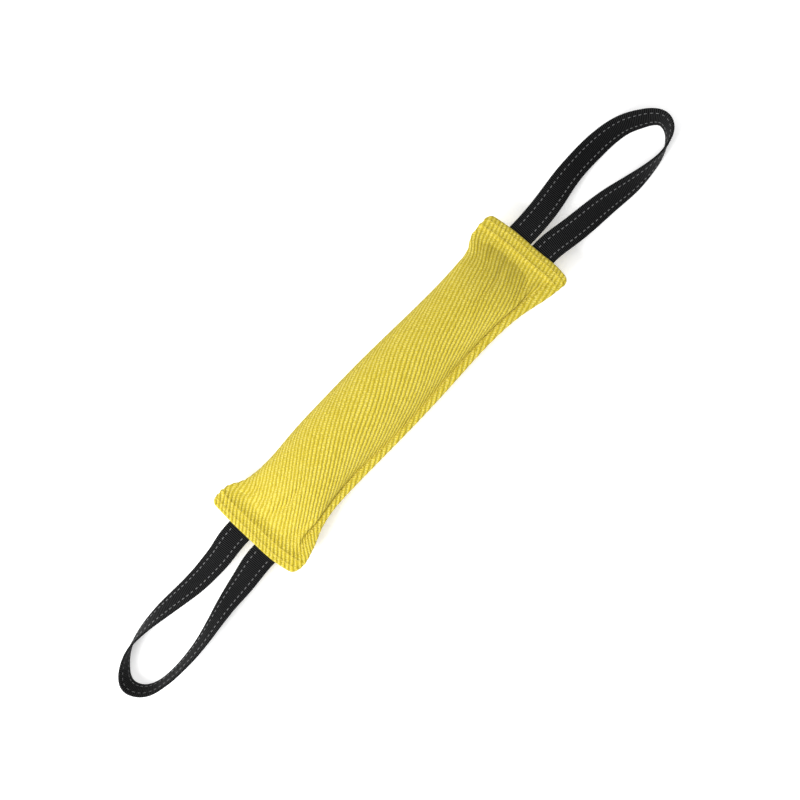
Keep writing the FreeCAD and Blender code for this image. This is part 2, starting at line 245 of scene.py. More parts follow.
def spline(places, values, at):
    """A natural cubic through the points, one column of values at a time."""
    places = np.asarray(places, float)
    values = np.asarray(values, float)
    if values.ndim == 1:
        return spline(places, values[:, None], at)[:, 0]
    count = len(places)
    h = np.diff(places)
    matrix = np.eye(count)
    right = np.zeros((count, values.shape[1]))
    for n in range(1, count - 1):
        matrix[n, n - 1:n + 2] = h[n - 1], 2 * (h[n - 1] + h[n]), h[n]
        right[n] = 6 * ((values[n + 1] - values[n]) / h[n] - (values[n] - values[n - 1]) / h[n - 1])
    bend = np.linalg.solve(matrix, right)
    at = np.clip(at, places[0], places[-1])
    k = np.clip(np.searchsorted(places, at, side="right") - 1, 0, count - 2)
    a = (places[k + 1] - at)[:, None]
    b = (at - places[k])[:, None]
    step = h[k][:, None]
    curved = (bend[k] * a ** 3 + bend[k + 1] * b ** 3) / (6 * step)
    from_left = (values[k] / step - bend[k] * step / 6) * a
    from_right = (values[k + 1] / step - bend[k + 1] * step / 6) * b
    return curved + (from_left + from_right)


def contour(points, x):
    """Y of an outline from above, at places along the roll."""
    places, values = zip(*points)
    return spline([p * HALF_LENGTH for p in places], values, x)


def smoothed(values, width):
    """A running mean with its ends held."""
    padded = np.pad(values, width, mode="edge")
    return np.convolve(padded, np.ones(2 * width + 1) / (2 * width + 1), mode="valid")


def grid_normals(points):
    """Outward normals of a grid whose second direction closes on itself."""
    along = np.gradient(points, axis=0)
    around = np.roll(points, -1, axis=1) - np.roll(points, 1, axis=1)
    normal = np.cross(around, along)
    return normal / np.maximum(np.linalg.norm(normal, axis=-1, keepdims=True), 1e-9)


def grid_faces(rows, columns):
    """Quads between the rows, each row closing on itself."""
    faces = []
    for i in range(rows - 1):
        for j in range(columns):
            k = (j + 1) % columns
            faces.append((i * columns + j, i * columns + k, (i + 1) * columns + k, (i + 1) * columns + j))
    return faces


def closed_tube_faces(rows, columns):
    """The same with a face over each end."""
    first = list(range(columns))[::-1]
    last = [(rows - 1) * columns + j for j in range(columns)]
    return grid_faces(rows, columns) + [first, last]


def lengths_along(points):
    """The distance along a line of points to each of them."""
    steps = np.linalg.norm(np.diff(points, axis=0), axis=1)
    return np.concatenate([[0], np.cumsum(steps)])


def read_along(at, places, points):
    """Points read off a line at places between its own."""
    return np.stack([np.interp(at, places, points[:, k]) for k in range(3)], axis=1)


def make_mesh(name, points, faces, attributes=None):
    """A smooth-shaded object from points in millimetres."""
    mesh = bpy.data.meshes.new(name)
    mesh.from_pydata((np.asarray(points).reshape(-1, 3) * MM).tolist(), [], faces)
    mesh.validate()
    for key, values in (attributes or {}).items():
        layer = mesh.attributes.new(key, "FLOAT_VECTOR", "POINT")
        layer.data.foreach_set("vector", np.asarray(values, np.float32).ravel())
    mesh.polygons.foreach_set("use_smooth", [True] * len(mesh.polygons))
    mesh.update()
    obj = bpy.data.objects.new(name, mesh)
    bpy.context.scene.collection.objects.link(obj)
    return obj


# ---------------------------------------------------------------- materials

# The twill's ramp: its dark end is painted shade between the ribs and in the needle pits, its light end
# painted highlight on the ribs and floats, with the yarn's random tone between.
TWILL_SHADE_AND_HIGHLIGHT_COLOURS = [
    (0.05, (0.25, 0.175, 0.005)),
    (0.3, (0.45, 0.345, 0.016)),
    (0.62, (0.6, 0.485, 0.045)),
    (1.0, (0.7, 0.605, 0.17)),
]
# The webbing's ramp: its lighter stops are painted highlights on the crests of its ribs and yarns.
WEBBING_HIGHLIGHT_COLOURS = [
    (0.3, (0.0, 0.0, 0.0)),
    (0.58, (0.0015, 0.0015, 0.0016)),
    (0.88, (0.048, 0.049, 0.05)),
]
# Dark and light of each yarn: painted shade in its twist grooves and painted highlight on the crests.
THREAD_SHADE_AND_HIGHLIGHT_COLOURS = (0.42, 0.3, 0.03), (0.8, 0.66, 0.12)
TRACER_SHADE_AND_HIGHLIGHT_COLOURS = (0.07, 0.07, 0.072), (0.2, 0.2, 0.205)
FIBRE_COLOURS = [(0.25, (0.5, 0.47, 0.4)), (0.75, (0.82, 0.8, 0.74))]


class Shader:
    """A small helper that adds nodes and links to one Principled material."""

    def __init__(self, name):
        self.material = bpy.data.materials.new(name)
        self.material.use_nodes = True
        self.tree = self.material.node_tree
        self.principled = self.tree.nodes["Principled BSDF"]

    def add(self, kind, inputs=None, **settings):
        node = self.tree.nodes.new(kind)
        for key, value in settings.items():
            setattr(node, key, value)
        for key, value in (inputs or {}).items():
            self.put(node.inputs[key], value)
        return node

    def put(self, socket, value):
        if isinstance(value, bpy.types.NodeSocket):
            self.tree.links.new(value, socket)
        else:
            socket.default_value = value

    def math(self, operation, first, second=0.0):
        node = self.add("ShaderNodeMath", {0: first, 1: second}, operation=operation)
        return node.outputs[0]

    def attribute(self, name):
        """The three numbers stored at each point of the mesh."""
        node = self.add("ShaderNodeAttribute", attribute_name=name)
        parts = self.add("ShaderNodeSeparateXYZ", {"Vector": node.outputs["Vector"]})
        return parts.outputs["X"], parts.outputs["Y"], parts.outputs["Z"]

    def noise(self, vector, scale, detail=2.0, roughness=0.5):
        node = self.add(
            "ShaderNodeTexNoise",
            {"Vector": vector, "Scale": scale, "Detail": detail, "Roughness": roughness},
        )
        return node.outputs["Fac"]

    def total(self, *terms):
        """The sum of (value, weight) pairs."""
        weighted = [self.math("MULTIPLY", value, weight) for value, weight in terms]
        result = weighted[0]
        for term in weighted[1:]:
            result = self.math("ADD", result, term)
        return result

    def vector(self, x, y, z=0.0):
        return self.add("ShaderNodeCombineXYZ", {"X": x, "Y": y, "Z": z}).outputs[0]

    def half_cosine(self, value, turns=1.0):
        """A wave between 0 and 1: it is 1 where the value times its turns is a whole number."""
        cosine = self.math("COSINE", self.math("MULTIPLY", value, 2 * math.pi * turns))
        node = self.add("ShaderNodeMath", {0: cosine, 1: 0.5, 2: 0.5}, operation="MULTIPLY_ADD")
        return node.outputs[0]

    def ramp(self, value, stops):
        node = self.add("ShaderNodeValToRGB", {"Fac": value})
        elements = node.color_ramp.elements
        while len(elements) < len(stops):
            elements.new(0.5)
        for element, (place, colour) in zip(elements, stops):
            element.position = place
            element.color = (*colour, 1.0)
        return node.outputs["Color"]

    def bump(self, height, distance, strength):
        node = self.add("ShaderNodeBump", {"Height": height, "Distance": distance, "Strength": strength})
        self.put(self.principled.inputs["Normal"], node.outputs["Normal"])

    def finish(self, **inputs):
        for key, value in inputs.items():
            self.put(self.principled.inputs[key.replace("_", " ")], value)
        return self.material


def twill_material():
    """Coarse yellow twill: rounded ribs of short floats, with painted shade where they meet and in the
    stitch pits, and painted highlights on the ribs and floats.
    """
    shader = Shader("yellow_twill")
    rib, along, pit = shader.attribute("twill")
    place = shader.vector(shader.math("MULTIPLY", rib, RIB_PITCH), along)
    fuzz = shader.noise(place, 2.2, 4.0, 0.65)
    uneven = shader.noise(place, 0.45)
    mottle = shader.noise(place, 0.06)
    wobble = shader.math("MULTIPLY", shader.math("SUBTRACT", uneven, 0.5), 0.8)
    phase = shader.math("ADD", rib, wobble)
    ridge = shader.math("POWER", shader.half_cosine(phase), 0.6)
    skew = shader.total((along, 1 / FLOAT_LENGTH), (phase, 0.62))
    floats = shader.half_cosine(shader.math("ADD", skew, wobble))
    knots = shader.math("MULTIPLY", floats, ridge)
    shader.bump(shader.total((ridge, 0.5), (knots, 0.5), (fuzz, 0.4)), 0.001, 0.75)
    # Painted light: lighter on the ribs and floats, darker in the stitch pits, besides the yarn's random
    # fuzz and mottle.
    tone_and_shade = shader.total((ridge, 0.4), (knots, 0.22), (fuzz, 0.4), (mottle, 0.15), (pit, -0.25))
    colour = shader.ramp(tone_and_shade, TWILL_SHADE_AND_HIGHLIGHT_COLOURS)
    return shader.finish(
        Base_Color=colour, Roughness=0.9, Sheen_Weight=0.06, Sheen_Roughness=0.5, Specular_IOR_Level=0.2
    )


def webbing_material():
    """Black synthetic webbing: cross ribs, crossed by fine lengthwise yarns, with painted highlights on
    their crests.
    """
    shader = Shader("black_webbing")
    along, across, _ = shader.attribute("weave")
    place = shader.vector(along, across)
    ribs = shader.half_cosine(along, 1 / WEBBING_RIB)
    yarns = shader.half_cosine(across, 1 / FACE_YARN)
    fuzz = shader.noise(place, 1.6, 3.0, 0.6)
    shader.bump(shader.total((ribs, 0.5), (yarns, 0.35), (fuzz, 0.25)), 0.0005, 0.9)
    # Painted highlight: lighter on the rib and yarn crests, with random fuzz.
    colour = shader.ramp(shader.total((ribs, 0.6), (yarns, 0.12), (fuzz, 0.3)), WEBBING_HIGHLIGHT_COLOURS)
    return shader.finish(Base_Color=colour, Roughness=0.5, Specular_IOR_Level=0.02)


def yarn_material(name, dark, light, roughness):
    """Twisted yarn, striped along its length with painted shade in the twist grooves and painted highlight
    on the crests.
    """
    shader = Shader(name)
    along, around, _ = shader.attribute("yarn")
    twist = shader.half_cosine(shader.total((along, 2.2), (around, 1.0)))
    fuzz = shader.noise(shader.vector(along, around), 3.0, 3.0)
    tone_and_shade = shader.total((twist, 0.6), (fuzz, 0.4))
    shader.bump(tone_and_shade, 0.0002, 0.6)
    colour = shader.ramp(tone_and_shade, [(0.1, dark), (0.9, light)])
    return shader.finish(Base_Color=colour, Roughness=roughness, Sheen_Weight=0.1)


def fibre_material():
    """Off-white loose fibre in tufts."""
    shader = Shader("stuffing_fibre")
    along, around, _ = shader.attribute("fibre")
    tufts = shader.noise(shader.vector(along, around), 0.25, 5.0, 0.7)
    shader.bump(tufts, 0.002, 0.9)
    colour = shader.ramp(tufts, FIBRE_COLOURS)
    return shader.finish(Base_Color=colour, Roughness=0.95, Sheen_Weight=0.3)


def floor_material():
    """A matt white that glows a little, so that shadows on it stay faint."""
    shader = Shader("pale_floor")
    shader.tree.nodes.remove(shader.tree.nodes["Principled BSDF"])
    diffuse = shader.add("ShaderNodeBsdfDiffuse", {"Color": (0.93, 0.93, 0.93, 1.0)})
    glow = shader.add("ShaderNodeEmission", {"Color": (1.0, 1.0, 1.0, 1.0), "Strength": 0.3})
    both = shader.add("ShaderNodeAddShader", {0: diffuse.outputs["BSDF"], 1: glow.outputs["Emission"]})
    output = shader.tree.nodes["Material Output"]
    shader.put(output.inputs["Surface"], both.outputs["Shader"])
    return shader.material


# ---------------------------------------------------------------- the cover's cloth, simulated

def ellipse_points(half_width, half_height, count):
    """Points evenly spaced round an ellipse, from its -Y end over the top and back."""
    turn = np.linspace(0, 2 * math.pi, 721)
    y = -half_width * np.cos(turn)
    z = half_height * np.sin(turn)
    steps = np.hypot(np.diff(y), np.diff(z))
    length = np.concatenate([[0], np.cumsum(steps)])
    even = np.interp(np.linspace(0, length[-1], count), length, turn)
    return -half_width * np.cos(even), half_height * np.sin(even)


SIM_ROWS = 94
SIM_ROUND = 49
SIM_SCALE = 10.0            # Blender's cloth is steadier on a larger model
SIM_FRAMES = 60
SIM_END = BAND_START + 6.0  # the last rows are held flat, where the end seams are
HELD_FROM = BAND_START - 0.5
CLOTH_SETTINGS = {
    "quality": 12,
    "mass": 0.3,
    "tension_stiffness": 40,
    "compression_stiffness": 40,
    "shear_stiffness": 10,
    "bending_stiffness": 2.0,
    "tension_damping": 15,
    "compression_damping": 15,
    "shear_damping": 10,
    "bending_damping": 1,
    "air_damping": 2,
    "vertex_group_mass": "held",
    "use_pressure": True,
    "uniform_pressure_force": 6.0,
}
TUBE_MIDDLE_Y = 2.5
START_WIDTH = 55.0          # across the unfilled tube, and how wide it is held at the left and right bands
START_WIDTH_LEFT = 71.0
START_WIDTH_RIGHT = 68.0
START_FLARE = 44.0, 17.0    # in from the roll's end, where the widening starts and stops
START_TAPER = 40.0          # length over which the tube's height falls to the band
START_HALF_HEIGHT = 2.0     # at the bands, and what it rises by between them
START_RISE = 14.0


def start_shape(x):
    """The unfilled tube: flat at the end seams, a low ellipse between them."""
    share = ease(np.abs(x), HALF_LENGTH - START_FLARE[0], HALF_LENGTH - START_FLARE[1])
    end_width = np.where(x > 0, START_WIDTH_RIGHT, START_WIDTH_LEFT)
    half_width = (START_WIDTH + (end_width - START_WIDTH) * share) / 2
    left = np.clip((BAND_START - np.abs(x)) / START_TAPER, 0, 1)
    half_height = START_HALF_HEIGHT + START_RISE * np.sin(left * math.pi / 2)
    points = np.zeros((len(x), SIM_ROUND, 3))
    for n in range(len(x)):
        y, z = ellipse_points(half_width[n], half_height[n], SIM_ROUND)
        points[n] = np.stack([np.full(SIM_ROUND, x[n]), TUBE_MIDDLE_Y + y, SEAM_Z + z], axis=-1)
    return points


def flat_panel(x):
    """The panel as it was cut, folded once: the cloth's own size."""
    share = np.linspace(0, 1, SIM_ROUND)
    y = np.minimum(share, 1 - share) * GIRTH - GIRTH / 4
    points = np.zeros((len(x), SIM_ROUND, 3))
    points[..., 0] = x[:, None]
    points[..., 1] = TUBE_MIDDLE_Y + y[None, :]
    return points


def stuffed_tube():
    """The cloth tube after Blender's Cloth has filled it: a grid of points, seam to seam in each row."""
    x = np.linspace(-SIM_END, SIM_END, SIM_ROWS)
    start = start_shape(x)
    faces = []
    for i in range(SIM_ROWS - 1):
        for j in range(SIM_ROUND - 1):
            corner = i * SIM_ROUND + j
            faces.append((corner, corner + 1, corner + 1 + SIM_ROUND, corner + SIM_ROUND))
    work = make_mesh("cloth_work", start * SIM_SCALE, faces)
    held = work.vertex_groups.new(name="held")
    for i in range(SIM_ROWS):
        for j in range(SIM_ROUND):
            if abs(x[i]) > HELD_FROM or j in (0, SIM_ROUND - 1):
                held.add([i * SIM_ROUND + j], 1.0, "REPLACE")
    work.shape_key_add(name="Basis")
    cut_size = work.shape_key_add(name="cut_size")
    cut_size.data.foreach_set("co", (flat_panel(x) * SIM_SCALE * MM).astype(np.float32).ravel())
    cut_size.value = 0.0
    cloth = work.modifiers.new("filling", "CLOTH")
    settings = cloth.settings
    for key, value in CLOTH_SETTINGS.items():
        setattr(settings, key, value)
    settings.effector_weights.gravity = 0
    settings.rest_shape_key = cut_size
    cloth.collision_settings.use_collision = False
    cloth.point_cache.frame_end = SIM_FRAMES
    scene = bpy.context.scene
    for step in range(1, SIM_FRAMES + 1):
        scene.frame_set(step)
    filled = work.evaluated_get(bpy.context.evaluated_depsgraph_get())
    flat = np.zeros(SIM_ROWS * SIM_ROUND * 3)
    filled.data.vertices.foreach_get("co", flat)
    scene.frame_set(1)
    mesh = work.data
    bpy.data.objects.remove(work)
    bpy.data.meshes.remove(mesh)
    return x, flat.reshape(SIM_ROWS, SIM_ROUND, 3) / SIM_SCALE / MM


# ---------------------------------------------------------------- the cover

def finer(grid, x, new_x, new_count):
    """The simulated grid read at more places, on smooth curves both ways."""
    rows = grid.shape[0]
    along = spline(x, grid.reshape(rows, -1), new_x).reshape(len(new_x), -1, 3)
    old = np.linspace(0, 1, along.shape[1])
    new = np.linspace(0, 1, new_count)
    turned = along.transpose(1, 0, 2).reshape(len(old), -1)
    return spline(old, turned, new).reshape(new_count, len(new_x), 3).transpose(1, 0, 2)


def stitch_pits(distance, along):
    """1 in the needle holes of a row of stitches, fading out round them. Distances in millimetres."""
    from_hole = np.abs((along / STITCH_PITCH) % 1.0 - 0.5) * STITCH_PITCH - STITCH_PITCH / 2
    return np.exp(-((distance / PIT_ACROSS) ** 2)) * np.exp(-((from_hole / PIT_ALONG) ** 2))


def tube_rows(x, grid):
    """The filled tube between its seam lines, spread to the outline that the real one has from above."""
    tube = finer(grid, x, np.clip(ROW_X, -SIM_END, SIM_END), ROUND_ROWS + 1)
    y, z = tube[..., 1], tube[..., 2] - SEAM_Z
    low = y[:, :1]
    high = smoothed(y.max(axis=1), PEAK_SMOOTHING)[:, None]
    valley = contour(VALLEY, ROW_X)[:, None]
    fold = contour(FOLD_CONTOUR, ROW_X)[:, None]
    share = (y - low) / (high - low)
    y = valley + share * (fold - valley)
    # A stuffed roll has the same height along its middle
    peak = smoothed(z.max(axis=1), PEAK_SMOOTHING)[:, None]
    wanted = (TUBE_HEIGHT / 2) / z[len(z) // 2].max()
    z = z * (1 + (wanted - 1) * ease(peak, ROUND_FROM, ROUND_TO))
    # The two layers stay apart at the seam line by the cloth between them, and meet at the fold
    t = np.linspace(0, 1, ROUND_ROWS + 1)[None, :]
    near_seam = 1 - ease(np.minimum(t, 1 - t), 0.0, SEAM_SHARE)
    side = np.where(t < 0.5, 1.0, -1.0)
    z = side * np.sqrt(z ** 2 + (SEAM_HALF * near_seam) ** 2)
    z[:, ROUND_ROWS // 2] = 0.0
    # The end bands are flat, with the fold's round edge
    from_fold = np.clip(fold - y, 0, BAND_HALF)
    flat = np.sqrt(np.maximum(BAND_HALF ** 2 - (BAND_HALF - from_fold) ** 2, 0))
    # Near the ends the layers can't come nearer than the webbing between them
    from_band = BAND_START - np.abs(ROW_X)
    over_tails = 1 - ease(from_band, OVER_TAILS_TO, OVER_TAILS_FROM)[:, None]
    over_tails = over_tails * ease(y - valley, *OVER_TAILS_SIDE)
    z = side * np.maximum(np.abs(z), OVER_TAILS / BAND_HALF * flat * over_tails)
    # The left band runs into the tube, and the right one has a turned hem that stands up from it
    left_step = ease(-ROW_X - BAND_START, *LEFT_STEP)
    right_step = ease(ROW_X - BAND_START, *RIGHT_STEP)
    hem = 1 + HEM_RISE / BAND_HALF * right_step * ease(HALF_LENGTH - ROW_X, 0.0, HEM_RISE_LENGTH)
    z = z + (side * flat * hem[:, None] - z) * (left_step + right_step)[:, None]
    return y, z


def flange_rows():
    """The side seam's upper layer, from the crease inside its rim, over the lip, to the valley."""
    rim = contour(RIM_CONTOUR, ROW_X)[:, None]
    valley = contour(VALLEY, ROW_X)[:, None]
    lip = np.linspace(math.pi, 0, LIP_ROWS)[None, :]
    lip_y = rim + LIP - LIP * np.sin(lip)
    lip_z = FLANGE_TOP - RIM_RISE + RIM_RISE * np.cos(lip) + 0 * rim
    share = np.linspace(0, 1, FLANGE_ROWS + 1)[None, 1:-1]
    flat_y = rim + LIP + (valley - rim - LIP) * share
    first, last = FLANGE_FLATTENS
    in_band = ease(np.abs(ROW_X), BAND_START - first, BAND_START - last)[:, None]
    puff = FLANGE_TOP + FLANGE_PUFF * np.sin(math.pi * share) - FLANGE_DIP * share ** 7
    flat_z = puff + (BAND_HALF - puff) * in_band * ease(share, 0.0, FLANGE_RIM_SHARE)
    crease_y = rim + 2 * LIP
    crease_z = np.full_like(crease_y, CREASE_Z)
    return np.hstack([crease_y, lip_y, flat_y]), np.hstack([crease_z, lip_z, flat_z])


def cover_grid():
    """The cover's points before its ribs: rows along the roll, each one once round the section."""
    x, grid = stuffed_tube()
    tube_y, tube_z = tube_rows(x, grid)
    rim_y, rim_z = flange_rows()
    y = np.hstack([rim_y, tube_y, rim_y[:, ::-1]])
    z = np.hstack([rim_z, tube_z, -rim_z[:, ::-1]])
    along = np.repeat(ROW_X[:, None], y.shape[1], axis=1)
    # Distance round the girth on the panel, going on past the seam into the flange
    out = contour(VALLEY, ROW_X)[:, None] - rim_y
    around = np.hstack([
        -out,
        np.repeat(np.linspace(0, GIRTH, ROUND_ROWS + 1)[None, :], SMOOTH_ROWS, axis=0),
        GIRTH + out[:, ::-1],
    ])
    return along, y, z, around


def end_setback(sign, y):
    """How far the end edge stands in from the roll's end at y."""
    places, values = zip(*SETBACKS[sign])
    return spline(places, values, y.ravel()).reshape(y.shape)


def corner_setback(sign, y):
    """What the rounded corners take off, at a distance from the band's two sides."""
    x = np.array([sign * HALF_LENGTH])
    low, high = contour(RIM_CONTOUR, x)[0], contour(FOLD_CONTOUR, x)[0]
    near = np.clip(np.minimum(y - low, high - y), 0, CORNER_RADIUS)
    return CORNER_RADIUS - np.sqrt(CORNER_RADIUS ** 2 - (CORNER_RADIUS - near) ** 2)


def shape_ends(along, y):
    """Moves the rows near each end to the slanted, round-cornered end edges."""
    moved = along.copy()
    leaning = ease(np.abs(along), HALF_LENGTH - SLANT_LENGTH, BAND_START)
    rounding = ease(np.abs(along), HALF_LENGTH - CORNER_LENGTH, HALF_LENGTH)
    for sign in (-1, 1):
        setback = end_setback(sign, y) * leaning + corner_setback(sign, y) * rounding
        moved = np.where(along * sign > 0, along - sign * setback, moved)
    return moved


def rib_phase(along, around):
    """Which rib a point is on: ribs climb from the seam to the fold, steeper towards the left end."""
    places, slants = zip(*RIB_SLANTS)
    x = np.linspace(-HALF_LENGTH, HALF_LENGTH, 400)
    slope = np.tan(np.radians(spline([p * HALF_LENGTH for p in places], slants, x)))
    climb = np.concatenate([[0], np.cumsum((slope[1:] + slope[:-1]) / 2 * np.diff(x))])
    phase = (around - np.interp(along, x, climb)) / RIB_PITCH
    for size, length, girth, start in RIB_WANDER:
        phase = phase + size * np.sin(along / length + around / girth + start)
    return phase


def end_profile():
    """How an end row closes: (distance in from the end edge, share of the half thickness)."""
    turns = np.linspace(math.pi / 2, math.pi, LIP_ROWS)
    lip = [(LIP - LIP * math.sin(turn), LIP_SHARE + LIP_SWING * math.cos(turn)) for turn in turns]
    return lip + [(2.0 * LIP, CREASE_SHARE)]


def round_hems(points):
    """Thins the last millimetre of each end to a lip, and adds the rows that turn in to the crease."""
    rise = points[..., 2] - SEAM_Z
    from_end = HALF_LENGTH - np.abs(ROW_X)
    swing = np.clip(1 - from_end / LIP, 0, 1)
    share = LIP_SHARE + LIP_SWING * np.sqrt(np.maximum(1 - swing ** 2, 0))
    share = np.where(swing > 0, share / (LIP_SHARE + LIP_SWING), 1.0)
    points[..., 2] = SEAM_Z + rise * share[:, None]
    ends = []
    for row, sign in ((0, -1), (-1, 1)):
        rows = []
        for inward, thin in end_profile()[1:]:
            new = points[row].copy()
            new[:, 0] -= sign * inward
            new[:, 2] = SEAM_Z + rise[row] * thin
            rows.append(new)
        ends.append(rows)
    first = np.stack(ends[0][::-1])
    last = np.stack(ends[1])
    return np.concatenate([first, points, last])


def band_marks(along, y):
    """Grooves under the two stitch rows of each end band, and the pits of their needle holes."""
    from_edge = HALF_LENGTH - np.abs(along)
    groove = np.zeros_like(along)
    pits = np.zeros_like(along)
    for inset in (OUTER_ROW_INSET, INNER_ROW_INSET):
        groove = np.maximum(groove, np.exp(-(((from_edge - inset) / GROOVE_WIDTH) ** 2)))
        pits = np.maximum(pits, stitch_pits(from_edge - inset, y))
    return groove, pits


def seam_pits(along):
    """The side seam's needle holes, in the flange just outside the valley."""
    columns = np.arange(along.shape[1])
    from_seam = np.abs(columns - SEAM_COLUMN)
    from_under_seam = np.abs(columns - (len(columns) - 1 - SEAM_COLUMN))
    distance = np.minimum(from_seam, from_under_seam)[None, :] * COLUMN_WIDTH
    between_bands = ease(HALF_LENGTH - np.abs(along), INNER_ROW_INSET, INNER_ROW_INSET + 3)
    return stitch_pits(distance, along) * between_bands


def surface_height(rib, groove, pits, along):
    """How far the ribs stand out of the smooth surface, less the grooves and pits."""
    columns = np.arange(along.shape[1])
    from_rim = np.minimum(columns, len(columns) - 1 - columns)
    near_rim = 1 - ease(from_rim, LIP_ROWS, TUBE_COLUMN + 1)
    rib_height = RIB_HEIGHT + (RIB_HEIGHT_AT_RIM - RIB_HEIGHT) * near_rim[None, :]
    height = rib_height * (rib ** RIB_SHAPE - RIB_DATUM)
    height -= GROOVE_DEPTH * groove + PIT_DEPTH * pits
    height[:, from_rim < CREASE_COLUMNS] = 0.0
    edge_fade = ease(HALF_LENGTH - np.abs(along), *RIBS_FADE)
    return height * (RIBS_AT_EDGE + (1 - RIBS_AT_EDGE) * edge_fade)


def press_on_floor(z, rib):
    """Heights of a surface that rests on the floor and is pressed flat there."""
    low = PRESSED_Z + PRESSED_RIBS * (rib - 0.5)
    return low + np.logaddexp(0, (z - low) / PRESSED_SOFTLY) * PRESSED_SOFTLY


def with_hem_rows(values):
    """What the cover's rows carry, repeated for the rows that close its ends."""
    extra = len(end_profile()) - 1
    return np.concatenate([np.repeat(values[:1], extra, 0), values, np.repeat(values[-1:], extra, 0)])


def make_cover():
    along, y, z, around = cover_grid()
    groove, pits = band_marks(along, y)
    pits = np.maximum(pits, seam_pits(along))
    phase = rib_phase(along, around)
    rib = 0.5 + 0.5 * np.cos(2 * math.pi * phase)
    points = np.stack([shape_ends(along, y), y, SEAM_Z + z], axis=-1)
    points = points + grid_normals(points) * surface_height(rib, groove, pits, along)[..., None]
    points[..., 2] = press_on_floor(points[..., 2], rib)
    surface = points.copy()
    points = round_hems(points)
    slant = math.radians(MEAN_SLANT)
    run = math.cos(slant) * along + math.sin(slant) * around
    # Its third value, the pit mask, also paints shade into the pits' colour.
    twill = np.stack([with_hem_rows(phase), with_hem_rows(run), with_hem_rows(pits)], axis=-1)
    rows, columns = points.shape[:2]
    faces = grid_faces(rows, columns)
    faces += end_cap(0, columns, flip=True)
    faces += end_cap(rows - 1, columns, flip=False)
    cover = make_mesh("twill_cover", points, faces, {"twill": twill})
    cover.data.materials.append(twill_material())
    return cover, surface


def end_cap(row, columns, flip):
    """Closes a row by joining each point to the one under it."""
    start = row * columns
    faces = []
    middle = columns // 2
    for j in range(middle):
        face = [j, j + 1, columns - 2 - j, columns - 1 - j]
        if j + 1 == columns - 2 - j:
            face = [j, j + 1, columns - 1 - j]
        if flip:
            face.reverse()
        faces.append([start + k for k in face])
    return faces


# ---------------------------------------------------------------- stuffing

def make_stuffing(surface):
    """The filling, seen only if the cover is opened: the tube's shape, a little inside the cloth."""
    keep = np.abs(ROW_X) < BAND_START - STUFFING_END
    tube = surface[keep][::STUFFING_STEP, TUBE_COLUMN:TUBE_COLUMN + ROUND_ROWS:STUFFING_STEP]
    middle = (tube.min(axis=1, keepdims=True) + tube.max(axis=1, keepdims=True)) / 2
    middle[..., 0] = 0
    offset = tube - middle
    offset[..., 0] = 0
    reach = np.linalg.norm(offset, axis=-1, keepdims=True)
    inset = np.minimum(STUFFING_INSET, STUFFING_INSET_SHARE * reach)
    inner = tube - offset * (inset / np.maximum(reach, 1e-6))
    faces = closed_tube_faces(*inner.shape[:2])
    stuffing = make_mesh("stuffing_fill", inner, faces, {"fibre": inner})
    stuffing.data.materials.append(fibre_material())
    return stuffing


# ---------------------------------------------------------------- thread

def tube_along(points, radius, sides=8):
    """A round tube with closed ends along points, and what each of its points needs for its yarn."""
    points = np.asarray(points)
    along = np.gradient(points, axis=0)
    along /= np.linalg.norm(along, axis=1, keepdims=True)
    side = np.cross(along, [0, 0, 1])
    side /= np.linalg.norm(side, axis=1, keepdims=True)
    up = np.cross(side, along)
    turn = np.arange(sides) * 2 * math.pi / sides
    ring = side[:, None] * np.cos(turn)[None, :, None] + up[:, None] * np.sin(turn)[None, :, None]
    share = np.linspace(-1, 1, len(points))
    taper = radius * np.sqrt(np.maximum(1 - share ** 6, 0.16))
    mesh = points[:, None] + ring * taper[:, None, None]
    faces = closed_tube_faces(len(points), sides)
    length = np.repeat((share * STITCH_LENGTH / 2)[:, None], sides, axis=1)
    around = np.repeat((turn / (2 * math.pi))[None, :], len(points), axis=0)
    yarn = np.stack([length, around, 0 * around], axis=-1)
    return mesh.reshape(-1, 3), faces, yarn.reshape(-1, 3)


def stitch_row(name, line, normals, low, high, material):
    """Stitches along a line of surface points, their ends sunk into the cloth."""
    length = lengths_along(line)
    start, stop = length[-1] * low, length[-1] * high
    count = int((stop - start) / STITCH_PITCH)
    first = (start + stop - (count - 1) * STITCH_PITCH) / 2
    rise = np.linspace(-1, 1, 9)
    lift = THREAD_LIFT * (1 - rise ** 4) - THREAD_SINK * rise ** 4
    vertices, faces, yarns = [], [], []
    for n in range(count):
        at = first + n * STITCH_PITCH + rise * STITCH_LENGTH / 2
        points = read_along(at, length, line)
        out = read_along(at, length, normals)
        mesh, tube_faces, yarn = tube_along(points + out * lift[:, None], THREAD_RADIUS)
        base = len(vertices) * len(mesh)
        faces += [[base + v for v in face] for face in tube_faces]
        vertices.append(mesh)
        yarns.append(yarn)
    row = make_mesh(name, np.concatenate(vertices), faces, {"yarn": np.concatenate(yarns)})
    row.data.materials.append(material)
    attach(row, "stuffed_body")
    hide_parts(name.replace("stitches", "thread"))
    return row


